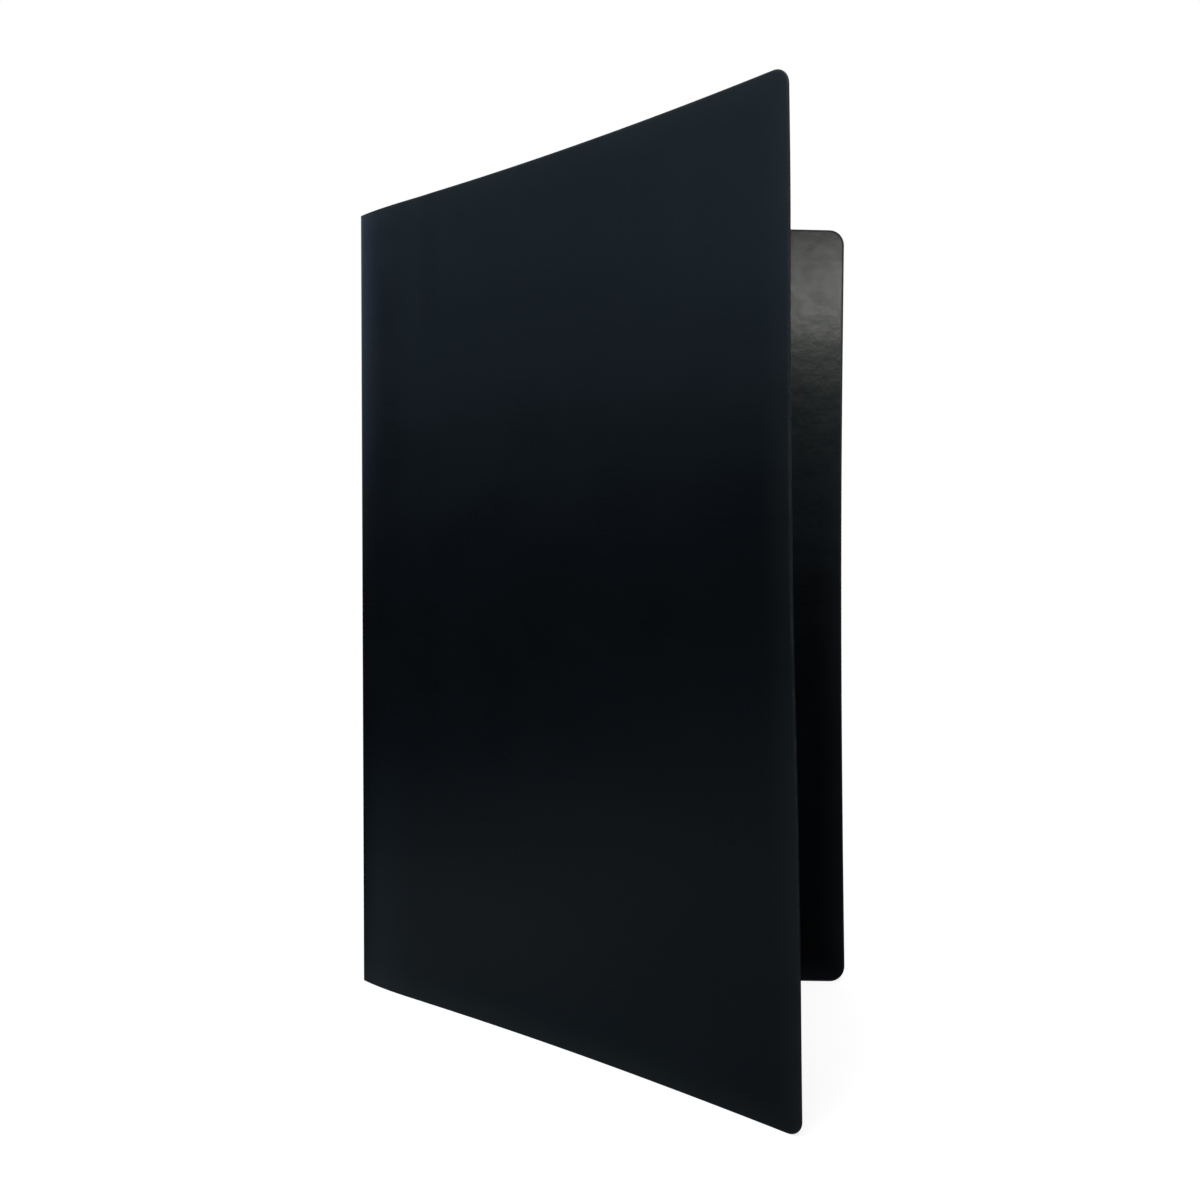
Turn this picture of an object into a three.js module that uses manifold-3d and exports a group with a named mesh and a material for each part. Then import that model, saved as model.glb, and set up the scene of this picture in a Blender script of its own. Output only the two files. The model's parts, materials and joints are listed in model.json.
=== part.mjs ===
// Fastener folder, legal size: two creased leaves with a two-prong paper fastener inside.
//
// Units are millimetres and +Z is up. The folder stands on its lower edges, partly open.
// X runs along the back leaf from the spine to its free edge, and the front leaf opens towards -Y.
// The origin is the middle of the whole folder's footprint, on the surface that it stands on.

import * as THREE from 'three';
import * as BufferGeometryUtils from 'three/addons/utils/BufferGeometryUtils.js';
import Module from 'manifold-3d';

const wasm = await Module();
wasm.setup();

const rad = THREE.MathUtils.degToRad;

// Leaves: one plastic sheet, creased twice, for paper of 216 x 356 mm.
const leafWidth = 229;
const leafHeight = 362;
const sheetThickness = 0.8;
const leafCornerRadius = 5.8;
const spineWidth = 7;
const creaseGap = 0.3;

// How far the front leaf stands open, and how much it bows outwards.
const topOpenDegrees = 39.2;
const bottomOpenDegrees = 36.4;
const topBowDegrees = 10;
const bottomBowDegrees = 7.1;

// The back leaf is flat above this height, and its lower end turns towards the front leaf.
const backFlatAbove = 300;
const backWarpDegrees = 4.5;

// Fastener: a strip with two bendable prongs, 70 mm apart, near the back leaf's top edge.
const prongSpacing = 70;
const fastenerBelowTop = 22;
const prongLength = 25;
const prongWidth = 5;
const prongThickness = 0.4;
const baseBeyondProng = 11;
const baseWidth = 9;
const baseThickness = 0.5;

// Patch that bonds the strip to the leaf, with a margin at the ends and along the sides.
const patchEndMargin = 13;
const patchSideMargin = 7.5;
const patchThickness = 0.4;
const patchCornerRadius = 4;

// Compressor: a channel with turned-in lips that clamps the sheets.
const channelBeyondProng = 17;
const channelBesideProng = 4;
const channelThickness = 0.5;
const lipWidth = 1.9;

// Slide locks, which run in the channel over the bent prongs.
const lockLength = 9;
const lockPlate = 0.5;
const lockOverProng = 0.9;
const lockLegWidth = 0.9;
const lockRibHeight = 0.9;
const lockRibThickness = 1;
const lockRibCount = 3;
const lockFromEnd = 1.5;

// Clearances.
const seatGap = 0.3;
const slotClearance = 0.4;

// How far a cutting shape runs past what it cuts, and the least straight side of a round end.
const cutOverrun = 1;
const roundEndFlat = 0.02;

// Facets.
const cornerSteps = 6;
const leafColumns = 18;
const leafRows = 12;
const creaseSteps = 6;

/** A closed mesh as a solid that can be cut and joined. */
function toSolid(geometry) {
  const bare = geometry.clone();
  bare.deleteAttribute('normal');
  bare.deleteAttribute('uv');
  const merged = BufferGeometryUtils.mergeVertices(bare, 1e-4);
  return new wasm.Manifold(new wasm.Mesh({
    numProp: 3,
    vertProperties: new Float32Array(merged.attributes.position.array),
    triVerts: new Uint32Array(merged.index.array),
  }));
}

/** A solid as a three.js geometry. */
function toGeometry(solid) {
  const mesh = solid.getMesh();
  const geometry = new THREE.BufferGeometry();
  geometry.setAttribute('position', new THREE.BufferAttribute(mesh.vertProperties, 3));
  geometry.setIndex(new THREE.BufferAttribute(mesh.triVerts, 1));
  geometry.computeVertexNormals();
  return geometry;
}

/** A box from its lowest to its highest corner. */
function block(low, high) {
  const size = high.map((value, axis) => value - low[axis]);
  const middle = high.map((value, axis) => (value + low[axis]) / 2);
  return new THREE.BoxGeometry(...size).translate(...middle);
}

/** A plate with round corners, flat on XY, centred on the Z axis and standing on z = 0. */
function roundedPlate(length, width, height, radius) {
  const x = length / 2;
  const y = width / 2;
  const shape = new THREE.Shape();
  shape.moveTo(-x + radius, -y);
  shape.absarc(x - radius, -y + radius, radius, -Math.PI / 2, 0);
  shape.absarc(x - radius, y - radius, radius, 0, Math.PI / 2);
  shape.absarc(-x + radius, y - radius, radius, Math.PI / 2, Math.PI);
  shape.absarc(-x + radius, -y + radius, radius, Math.PI, Math.PI * 1.5);
  return new THREE.ExtrudeGeometry(shape, {
    depth: height,
    bevelEnabled: false,
    curveSegments: cornerSteps,
  });
}

/** A cover of the folder: a sheet with two round corners that follows place(s, z). */
function sheetGeometry(firstColumn, place) {
  const columns = [];
  for (let i = 0; i <= leafColumns; i += 1) {
    const share = i / leafColumns;
    columns.push({
      s: firstColumn + (leafWidth - leafCornerRadius - firstColumn) * share,
      inset: 0,
    });
  }
  for (let i = 1; i <= cornerSteps; i += 1) {
    const turn = (Math.PI / 2) * (i / cornerSteps);
    columns.push({
      s: leafWidth - leafCornerRadius * (1 - Math.sin(turn)),
      inset: leafCornerRadius * (1 - Math.cos(turn)),
    });
  }
  const positions = [];
  for (const { s, inset } of columns) {
    for (let row = 0; row <= leafRows; row += 1) {
      const z = inset + (leafHeight - 2 * inset) * (row / leafRows);
      const { point, normal } = place(s, z);
      for (const side of [-1, 1]) {
        const offset = (side * sheetThickness) / 2;
        positions.push(point.x + normal.x * offset, point.y + normal.y * offset, z);
      }
    }
  }
  const perColumn = 2 * (leafRows + 1);
  const index = (column, row, side) => column * perColumn + row * 2 + side;
  const triangles = [];
  const quad = (a, b, c, d) => triangles.push(a, b, c, a, c, d);
  const last = columns.length - 1;
  for (let i = 0; i < last; i += 1) {
    for (let j = 0; j < leafRows; j += 1) {
      quad(index(i, j, 0), index(i + 1, j, 0), index(i + 1, j + 1, 0), index(i, j + 1, 0));
      quad(index(i, j, 1), index(i, j + 1, 1), index(i + 1, j + 1, 1), index(i + 1, j, 1));
    }
    quad(index(i, 0, 0), index(i, 0, 1), index(i + 1, 0, 1), index(i + 1, 0, 0));
    quad(index(i, leafRows, 0), index(i + 1, leafRows, 0),
      index(i + 1, leafRows, 1), index(i, leafRows, 1));
  }
  for (let j = 0; j < leafRows; j += 1) {
    quad(index(0, j, 0), index(0, j + 1, 0), index(0, j + 1, 1), index(0, j, 1));
    quad(index(last, j, 0), index(last, j, 1), index(last, j + 1, 1), index(last, j + 1, 0));
  }
  const geometry = new THREE.BufferGeometry();
  geometry.setAttribute('position', new THREE.Float32BufferAttribute(positions, 3));
  geometry.setIndex(triangles);
  geometry.computeVertexNormals();
  return geometry;
}

/** Each piece's finish. */
const finishes = {
  leaf: { color: 0x1d2124, roughness: 0.42, metalness: 0 },
  patch: { color: 0x24282b, roughness: 0.6, metalness: 0 },
  steel: { color: 0xb9bcbd, roughness: 0.3, metalness: 1 },
  lock: { color: 0xa9adaf, roughness: 0.26, metalness: 1 },
};

/** A named piece of the folder. */
function piece(name, geometry, finish) {
  const mesh = new THREE.Mesh(geometry, new THREE.MeshStandardMaterial(finishes[finish]));
  mesh.name = name;
  return mesh;
}

// The crease of the back leaf stands on the Z axis here. The spine turns at both creases alike.
const openDegrees = (topOpenDegrees + bottomOpenDegrees) / 2;
const creaseDegrees = (180 - openDegrees) / 2;
const spineHeading = rad(180 + creaseDegrees);
const frontCrease = new THREE.Vector2(Math.cos(spineHeading), Math.sin(spineHeading))
  .multiplyScalar(spineWidth);
const panelStart = sheetThickness / 2 + creaseGap;

/** The back leaf is flat where the fastener sits and turns more and more below. */
function backLeafAt(s, z) {
  const below = Math.max(0, backFlatAbove - z) / backFlatAbove;
  const heading = -rad(backWarpDegrees) * below ** 2;
  return {
    point: new THREE.Vector2(s * Math.cos(heading), s * Math.sin(heading)),
    normal: new THREE.Vector2(-Math.sin(heading), Math.cos(heading)),
  };
}

/** The front leaf bows outwards, and its lower end stands a little more closed. */
function frontLeafAt(s, z) {
  const height = z / leafHeight;
  const open = rad(THREE.MathUtils.lerp(bottomOpenDegrees, topOpenDegrees, height));
  const bow = rad(THREE.MathUtils.lerp(bottomBowDegrees, topBowDegrees, height)) / leafWidth;
  const heading = -(open + bow * s);
  const point = new THREE.Vector2(
    frontCrease.x + (Math.sin(open + bow * s) - Math.sin(open)) / bow,
    frontCrease.y + (Math.cos(open + bow * s) - Math.cos(open)) / bow,
  );
  return { point, normal: new THREE.Vector2(-Math.sin(heading), Math.cos(heading)) };
}

/** The narrow spine panel, with a round edge at each crease. */
function makeSpine() {
  const radius = sheetThickness / 2;
  const shape = new THREE.Shape();
  shape.absarc(spineWidth, 0, radius, -Math.PI / 2, Math.PI / 2);
  shape.absarc(0, 0, radius, Math.PI / 2, Math.PI * 1.5);
  const geometry = new THREE.ExtrudeGeometry(shape, {
    depth: leafHeight,
    bevelEnabled: false,
    curveSegments: creaseSteps,
  });
  const spine = piece('spine_panel', geometry, 'leaf');
  spine.rotation.z = spineHeading;
  return spine;
}

// Lengths and widths of the fastener's layers.
const baseLength = prongSpacing + 2 * baseBeyondProng;
const patchLength = baseLength + 2 * patchEndMargin;
const patchWidth = baseWidth + 2 * patchSideMargin;
const channelLength = prongSpacing + 2 * channelBeyondProng;
const channelWidth = prongWidth + 2 * channelBesideProng;

// Heights of the fastener's layers over the back leaf's inner face.
const patchUnder = baseThickness + seatGap;
const patchTop = patchUnder + patchThickness;
const floorUnder = patchTop + seatGap;
const floorTop = floorUnder + channelThickness;
const prongUnder = floorTop + seatGap;
const prongAxis = prongUnder + prongThickness / 2;
const lockUnder = prongUnder + prongThickness + lockOverProng;
const lockTop = lockUnder + lockPlate;
const lipUnder = lockTop + seatGap;
const lipTop = lipUnder + channelThickness;

/** A slot through a layer for a prong's root, at one side of the fastener. */
function rootSlot(side, bottom, top) {
  const x = side * (prongSpacing / 2);
  const reach = prongThickness / 2 + slotClearance;
  const width = prongWidth / 2 + slotClearance;
  return toSolid(block([x - reach, -width, bottom], [x + reach, width, top]));
}

/** The steel strip with its two upright roots. */
function makeBase() {
  const roundEnd = (baseWidth - roundEndFlat) / 2;
  let solid = toSolid(roundedPlate(baseLength, baseWidth, baseThickness, roundEnd));
  for (const side of [-1, 1]) {
    const x = side * (prongSpacing / 2);
    const half = prongThickness / 2;
    solid = solid.add(toSolid(block(
      [x - half, -prongWidth / 2, 0],
      [x + half, prongWidth / 2, floorTop],
    )));
  }
  return piece('fastener_base', toGeometry(solid), 'steel');
}

/** A plate with round ends that runs past the strip on all sides. */
function aroundBase(margin, height) {
  const width = baseWidth + 2 * margin;
  return roundedPlate(baseLength + 2 * margin, width, height, (width - roundEndFlat) / 2);
}

/** The patch: film that lies on the leaf and is embossed over the strip. */
function makePatch() {
  let solid = toSolid(roundedPlate(patchLength, patchWidth, patchThickness, patchCornerRadius));
  solid = solid.add(toSolid(aroundBase(seatGap + patchThickness, patchTop)));
  const recess = aroundBase(seatGap, patchUnder + cutOverrun).translate(0, 0, -cutOverrun);
  solid = solid.subtract(toSolid(recess));
  for (const side of [-1, 1]) {
    solid = solid.subtract(rootSlot(side, -cutOverrun, patchTop + cutOverrun));
  }
  return piece('bonded_patch', toGeometry(solid), 'patch');
}

/** The compressor's channel, with slots for the prongs' roots. */
function makeCompressor() {
  const side = channelWidth / 2;
  const inner = side - channelThickness;
  const lip = side - lipWidth;
  const shape = new THREE.Shape([
    new THREE.Vector2(-side, floorUnder),
    new THREE.Vector2(side, floorUnder),
    new THREE.Vector2(side, lipTop),
    new THREE.Vector2(lip, lipTop),
    new THREE.Vector2(lip, lipUnder),
    new THREE.Vector2(inner, lipUnder),
    new THREE.Vector2(inner, floorTop),
    new THREE.Vector2(-inner, floorTop),
    new THREE.Vector2(-inner, lipUnder),
    new THREE.Vector2(-lip, lipUnder),
    new THREE.Vector2(-lip, lipTop),
    new THREE.Vector2(-side, lipTop),
  ]);
  const channel = new THREE.ExtrudeGeometry(shape, {
    depth: channelLength,
    bevelEnabled: false,
  });
  channel.translate(0, 0, -channelLength / 2);
  channel.rotateX(Math.PI / 2);
  channel.rotateZ(Math.PI / 2);
  let solid = toSolid(channel);
  for (const end of [-1, 1]) {
    solid = solid.subtract(rootSlot(end, floorUnder - cutOverrun, floorTop + cutOverrun));
  }
  return piece('compressor_bar', toGeometry(solid), 'steel');
}

/** A prong, bent down flat along the channel towards the other one. */
function makeProng(name, side) {
  const half = prongThickness / 2;
  const profile = new THREE.Shape();
  profile.absarc(0, 0, half, Math.PI / 2, Math.PI * 1.5);
  profile.lineTo(prongLength, -half);
  profile.lineTo(prongLength, half);
  const blade = new THREE.ExtrudeGeometry(profile, {
    depth: prongWidth,
    bevelEnabled: false,
    curveSegments: creaseSteps,
  });
  blade.translate(0, 0, -prongWidth / 2);
  blade.rotateX(Math.PI / 2);
  const tip = prongWidth / 2;
  const outline = new THREE.Shape();
  outline.moveTo(-prongThickness, -tip - cutOverrun);
  outline.lineTo(prongLength - tip, -tip - cutOverrun);
  outline.lineTo(prongLength - tip, -tip);
  outline.absarc(prongLength - tip, 0, tip, -Math.PI / 2, Math.PI / 2);
  outline.lineTo(prongLength - tip, tip + cutOverrun);
  outline.lineTo(-prongThickness, tip + cutOverrun);
  const plan = new THREE.ExtrudeGeometry(outline, {
    depth: 2 * prongThickness,
    bevelEnabled: false,
    curveSegments: cornerSteps,
  });
  plan.translate(0, 0, -prongThickness);
  const prong = piece(name, toGeometry(toSolid(blade).intersect(toSolid(plan))), 'steel');
  prong.position.set((side * prongSpacing) / 2, 0, prongAxis);
  prong.rotation.z = side > 0 ? Math.PI : 0;
  return prong;
}

/** A slide lock: an arch that runs in the channel under the lips, with thumb ribs on top. */
function makeLock(name, side) {
  const x = lockLength / 2;
  const width = channelWidth / 2 - channelThickness - seatGap;
  const legInside = width - lockLegWidth;
  const ribHalfWidth = channelWidth / 2 - lipWidth - seatGap;
  let solid = toSolid(block([-x, -width, prongUnder], [x, width, lockTop]));
  solid = solid.subtract(toSolid(block(
    [-x - cutOverrun, -legInside, 0],
    [x + cutOverrun, legInside, lockUnder],
  )));
  const ribPitch = (lockLength - lockRibThickness) / (lockRibCount - 1);
  for (let i = 0; i < lockRibCount; i += 1) {
    const start = -x + i * ribPitch;
    solid = solid.add(toSolid(block(
      [start, -ribHalfWidth, lockUnder],
      [start + lockRibThickness, ribHalfWidth, lipTop + lockRibHeight],
    )));
  }
  const lock = piece(name, toGeometry(solid), 'lock');
  lock.position.x = side * (channelLength / 2 - lockFromEnd - x);
  return lock;
}

/** The whole fastener, laid on the back leaf's inner face. */
function makeFastener() {
  const fastener = new THREE.Group();
  fastener.add(
    makeBase(),
    makePatch(),
    makeCompressor(),
    makeProng('spine_side_prong', -1),
    makeProng('edge_side_prong', 1),
    makeLock('spine_side_lock', -1),
    makeLock('edge_side_lock', 1),
  );
  fastener.rotation.x = Math.PI / 2;
  fastener.position.set(leafWidth / 2, -sheetThickness / 2, leafHeight - fastenerBelowTop);
  return fastener;
}

const folder = new THREE.Group();
folder.add(
  piece('back_cover', sheetGeometry(panelStart, backLeafAt), 'leaf'),
  makeSpine(),
  piece('front_cover', sheetGeometry(panelStart, frontLeafAt), 'leaf'),
  makeFastener(),
);

folder.updateMatrixWorld(true);
const footprint = new THREE.Box3().setFromObject(folder, true);
const middle = footprint.getCenter(new THREE.Vector3());
folder.position.set(-middle.x, -middle.y, -footprint.min.z);

const group = new THREE.Group();
group.add(folder);
group.updateMatrixWorld(true);

export default group;
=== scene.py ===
"""Fastener folder: satin black plastic leaves with a bright prong fastener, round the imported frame.

Lengths are in metres, in the frame's own axes: +Z up, +X along the back leaf from the spine to its
free edge, and the front leaf opening towards -Y.
"""

import json
import math

import bmesh
import bpy
from mathutils import Euler, Matrix, Vector


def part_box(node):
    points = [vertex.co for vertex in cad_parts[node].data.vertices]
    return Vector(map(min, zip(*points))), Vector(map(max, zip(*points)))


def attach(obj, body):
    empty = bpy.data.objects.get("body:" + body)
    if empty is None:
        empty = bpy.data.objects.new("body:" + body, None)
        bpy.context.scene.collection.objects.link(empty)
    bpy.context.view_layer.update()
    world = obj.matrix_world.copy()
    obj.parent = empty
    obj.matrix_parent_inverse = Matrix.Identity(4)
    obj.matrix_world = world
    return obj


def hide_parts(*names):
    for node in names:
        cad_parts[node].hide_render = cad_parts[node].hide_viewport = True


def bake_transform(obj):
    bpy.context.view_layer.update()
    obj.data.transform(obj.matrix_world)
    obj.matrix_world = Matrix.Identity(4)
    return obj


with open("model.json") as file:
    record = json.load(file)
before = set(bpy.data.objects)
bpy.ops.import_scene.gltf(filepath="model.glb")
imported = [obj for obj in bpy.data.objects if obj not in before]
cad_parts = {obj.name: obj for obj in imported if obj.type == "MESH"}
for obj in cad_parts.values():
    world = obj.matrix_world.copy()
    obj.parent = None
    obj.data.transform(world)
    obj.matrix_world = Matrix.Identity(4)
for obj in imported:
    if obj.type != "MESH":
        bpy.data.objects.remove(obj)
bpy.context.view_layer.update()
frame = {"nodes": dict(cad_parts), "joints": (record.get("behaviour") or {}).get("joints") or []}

MM = 0.001
TO_FRONT, TO_BACK = (0.0, -1.0, 0.0), (0.0, 1.0, 0.0)

JOINTS = {joint["name"]: joint for joint in frame["joints"]}
BACK_CREASE = Vector(JOINTS["back_crease"]["pos_m"][:2])
FRONT_CREASE = Vector(JOINTS["front_crease"]["pos_m"][:2])


# Camera, set from the leaves' edges in the photograph; its angles are in radians

IMAGE_WIDTH = 1200
FOCAL_PIXELS = 1051.4
SENSOR_WIDTH = 36.0
CAMERA_FROM_CREASE = Vector((80.7 * MM, -508.4 * MM, 200.1 * MM))
CAMERA_PITCH = 0.0349
CAMERA_ROLL = 0.0017
CAMERA_HEADING = 0.0595


def make_camera():
    """The photograph's view: nearly level, half a metre in front of the creases."""
    data = bpy.data.cameras.new("view")
    data.sensor_width = SENSOR_WIDTH
    data.lens = SENSOR_WIDTH * FOCAL_PIXELS / IMAGE_WIDTH
    data.clip_start = 10.0 * MM
    camera = bpy.data.objects.new("view", data)
    bpy.context.scene.collection.objects.link(camera)
    world_to_view = Euler((CAMERA_PITCH, CAMERA_ROLL, CAMERA_HEADING), "XYZ").to_matrix()
    look_ahead = Matrix.Rotation(math.pi / 2, 3, "X")
    turn = (world_to_view.transposed() @ look_ahead).to_4x4()
    place = BACK_CREASE.to_3d() + CAMERA_FROM_CREASE
    camera.matrix_world = Matrix.Translation(place) @ turn
    bpy.context.scene.camera = camera


make_camera()


# Node trees

def enabled(sockets, name):
    """The socket in use that has this name, or this place in the row."""
    if isinstance(name, int):
        return sockets[name]
    return next(socket for socket in sockets if socket.name == name and socket.enabled)


class Value:
    """A node's output that takes part in sums."""

    def __init__(self, tree, socket):
        self.tree = tree
        self.socket = socket

    def math(self, operation, *others, clamp=False):
        """A Math node on this value and others."""
        settings = {"operation": operation, "use_clamp": clamp}
        inputs = dict(enumerate((self, *others)))
        return self.tree.add("ShaderNodeMath", settings, inputs)[0]

    def __neg__(self):
        return self * -1.0

    def __add__(self, other):
        return self.math("ADD", other)

    __radd__ = __add__

    def __sub__(self, other):
        return self.math("SUBTRACT", other)

    def __rsub__(self, other):
        return -self + other

    def __mul__(self, other):
        return self.math("MULTIPLY", other)

    def __truediv__(self, other):
        return self.math("DIVIDE", other)

    def __pow__(self, other):
        return self.math("POWER", other)

    def least(self, other):
        """The smaller of this and the other."""
        return self.math("MINIMUM", other)

    def most(self, other):
        """The larger of this and the other."""
        return self.math("MAXIMUM", other)

    def clamped(self):
        """This value, kept between 0 and 1."""
        return self.math("ADD", 0.0, clamp=True)

    def ramp(self, low, high):
        """Rises smoothly from 0 at low to 1 at high."""
        share = ((self - low) / (high - low)).clamped()
        return share * share * (3.0 - share * 2.0)


class Made:
    """A node that has been added; its outputs are values by name or place."""

    def __init__(self, tree, node):
        self.tree = tree
        self.node = node

    def __getitem__(self, name):
        return Value(self.tree, enabled(self.node.outputs, name))


class Tree:
    """A node tree that adds nodes by type, settings and socket values."""

    def __init__(self, tree):
        self.tree = tree

    def add(self, kind, settings=None, inputs=None):
        """Adds a node: its settings first, then its sockets' values or links."""
        node = self.tree.nodes.new(kind)
        for name, value in (settings or {}).items():
            setattr(node, name, value)
        for name, value in (inputs or {}).items():
            self.feed(enabled(node.inputs, name), value)
        return Made(self, node)

    def feed(self, socket, value):
        """Links a value to a socket, or sets the socket to a number or colour."""
        if isinstance(value, Value):
            self.tree.links.new(value.socket, socket)
        else:
            socket.default_value = value

    def mixed(self, factor, first, second):
        """A colour between first and second."""
        inputs = {"Factor": factor, "A": first, "B": second}
        return self.add("ShaderNodeMix", {"data_type": "RGBA"}, inputs)["Result"]

    def vector(self, operation, *others):
        """A Vector Math node's vector."""
        inputs = dict(enumerate(others))
        return self.add("ShaderNodeVectorMath", {"operation": operation}, inputs)["Vector"]

    def parts(self, vector):
        """A vector's three components."""
        node = self.add("ShaderNodeSeparateXYZ", None, {"Vector": vector})
        return node["X"], node["Y"], node["Z"]

    def joined(self, x, y, z):
        """A vector of three components."""
        return self.add("ShaderNodeCombineXYZ", None, {"X": x, "Y": y, "Z": z})["Vector"]

    def noise(self, vector, scale, detail, roughness=0.5):
        """Noise from 0 to 1 at a scale in cycles a metre."""
        inputs = {"Vector": vector, "Scale": scale, "Detail": detail, "Roughness": roughness}
        return self.add("ShaderNodeTexNoise", None, inputs)[0]

    def bump(self, height, distance):
        """A bumped normal from a height, in shares of distance."""
        inputs = {"Height": height, "Distance": distance, "Strength": 1.0}
        return self.add("ShaderNodeBump", None, inputs)["Normal"]

    def attribute(self, name):
        """A number that a mesh keeps at its vertices."""
        return self.add("ShaderNodeAttribute", {"attribute_name": name})["Fac"]


def new_material(name):
    """An empty material, its tree and its shader."""
    material = bpy.data.materials.new(name)
    material.use_nodes = True
    tree = Tree(material.node_tree)
    shader = next(node for node in material.node_tree.nodes if node.type == "BSDF_PRINCIPLED")
    return material, tree, shader


# Finishes: the scales of their patterns are in cycles a metre

EDGE_DISTANCE = "edge_distance"
RIM_SHARE = "rim_share"

PLASTIC_IOR = 1.49
GRAIN_SCALE = 2600.0
WEAR_SCALE = 160.0
DIMPLE_SCALE = 130.0
CLOUD_SCALE = 34.0
SCUFF_SCALE = 9.0
STREAK_SCALES = (30.0, 30.0, 420.0)
WORN_REACH = (0.1 * MM, 1.4 * MM)
# Painted glare: a lighter colour near the edges, where it reaches and how much of it is mixed in.
PAINTED_GLARE_REACH = (-6.0 * MM, 14.0 * MM)
PAINTED_GLARE_SHARE = 0.45
# Where the rub of paper lies, in from the edges; it is also a painted sheen that lifts the dark inner
# face.
RUB_AND_SHEEN_REACH = (22.0 * MM, 60.0 * MM)
DIMPLED_ROUGHNESS = 0.003

WEAVE_PITCH = 0.9 * MM
WEAVE_DEPTH = 0.04 * MM
FILM_SCALE = 180.0

ROLLED_SCALES = (90.0, 5200.0, 5200.0)
ROLLED_DEPTH = 0.01 * MM
HANDLED_SCALE = 420.0


def grey(value):
    """A colour with three equal channels."""
    return (value, value, value, 1.0)


def shaded(colour, share):
    """A colour with its channels times a share."""
    return tuple(channel * share for channel in colour[:3]) + (1.0,)


def sheet_material(name, colour, worn_glare_and_sheen, roughness, grain, streaks, dimples, rub_and_sheen_share, gloss=0.5):
    """Extruded black plastic: grain, streaks, dimples, scuffs and worn edges, with painted glare near
    its edges and, where paper rubs, a haze that is also a painted sheen.
    """
    material, tree, shader = new_material(name)
    place = tree.add("ShaderNodeTexCoord")["Object"]
    fine = tree.noise(place, GRAIN_SCALE, 2.0)
    cloud = tree.noise(place, CLOUD_SCALE, 3.0)
    streak = tree.noise(tree.vector("MULTIPLY", place, STREAK_SCALES), 1.0, 4.0, 0.6)
    scuff = tree.noise(place, SCUFF_SCALE, 5.0, 0.62).ramp(0.52, 0.72)
    dimple = tree.noise(place, DIMPLE_SCALE, 2.0, 0.55)

    edge = tree.attribute(EDGE_DISTANCE)
    near_edge = 1.0 - edge.ramp(*WORN_REACH)
    wear = near_edge * tree.noise(place, WEAR_SCALE, 4.0, 0.65).ramp(0.42, 0.68)
    # Painted glare: the base colour is lightened in a band that fades out 14 mm in from the edges,
    # standing in for the glow of the bright surroundings at the sheet's edges.
    painted_glare = (1.0 - edge.ramp(*PAINTED_GLARE_REACH)) * (0.5 + cloud)
    # Rub of paper on the inner face, which is also a painted sheen that lifts the face where little
    # light reaches it.
    rub_and_painted_sheen = edge.ramp(*RUB_AND_SHEEN_REACH) * (0.35 + streak * 0.8 + scuff * 0.5) * rub_and_sheen_share
    # marks mixes the worn edges, the painted glare and the rub with its painted sheen.
    marks = wear * 0.4 + painted_glare * PAINTED_GLARE_SHARE + rub_and_painted_sheen
    base = tree.mixed(cloud * 0.6 + scuff * 0.4, colour, shaded(colour, 1.35))
    tree.feed(shader.inputs["Base Color"], tree.mixed(marks, base, worn_glare_and_sheen))

    uneven = (cloud - 0.5) * 0.06 + (streak - 0.5) * streaks
    uneven = uneven + (dimple - 0.5) * (dimples * DIMPLED_ROUGHNESS)
    rough = roughness + uneven + scuff * 0.04 + near_edge * 0.2 + wear * 0.10
    tree.feed(shader.inputs["Roughness"], rough)
    tree.feed(shader.inputs["Normal"], tree.bump(fine + streak * 0.4 + dimple * dimples, grain))
    shader.inputs["IOR"].default_value = PLASTIC_IOR
    shader.inputs["Specular IOR Level"].default_value = gloss
    return material


def film_material():
    """Matt bonded film with a fine pressed weave."""
    material, tree, shader = new_material("bonded_film")
    place = tree.add("ShaderNodeTexCoord")["Object"]
    x, _, z = tree.parts(place)
    turns = 2.0 * math.pi / WEAVE_PITCH
    weave = (x * turns).math("SINE") * (z * turns).math("SINE")
    mottle = tree.noise(place, FILM_SCALE, 3.0)
    dark, light = (0.006, 0.0065, 0.007, 1.0), (0.013, 0.0135, 0.014, 1.0)
    tree.feed(shader.inputs["Base Color"], tree.mixed(mottle, dark, light))
    tree.feed(shader.inputs["Roughness"], 0.52 + (mottle - 0.5) * 0.16)
    tree.feed(shader.inputs["Normal"], tree.bump(weave * 0.5 + mottle, WEAVE_DEPTH))
    return material


def steel_material(name, colour, roughness):
    """Plated steel strip, rolled along X, with faint handling marks."""
    material, tree, shader = new_material(name)
    place = tree.add("ShaderNodeTexCoord")["Object"]
    rolled = tree.noise(tree.vector("MULTIPLY", place, ROLLED_SCALES), 1.0, 3.0, 0.6)
    marks = tree.noise(place, HANDLED_SCALE, 4.0, 0.6)
    base = tree.mixed(marks.ramp(0.42, 0.7), colour, shaded(colour, 0.8))
    tree.feed(shader.inputs["Base Color"], base)
    tree.feed(shader.inputs["Roughness"], roughness + (rolled - 0.5) * 0.16 + (marks - 0.5) * 0.12)
    tree.feed(shader.inputs["Normal"], tree.bump(rolled, ROLLED_DEPTH))
    shader.inputs["Metallic"].default_value = 1.0
    return material


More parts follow.
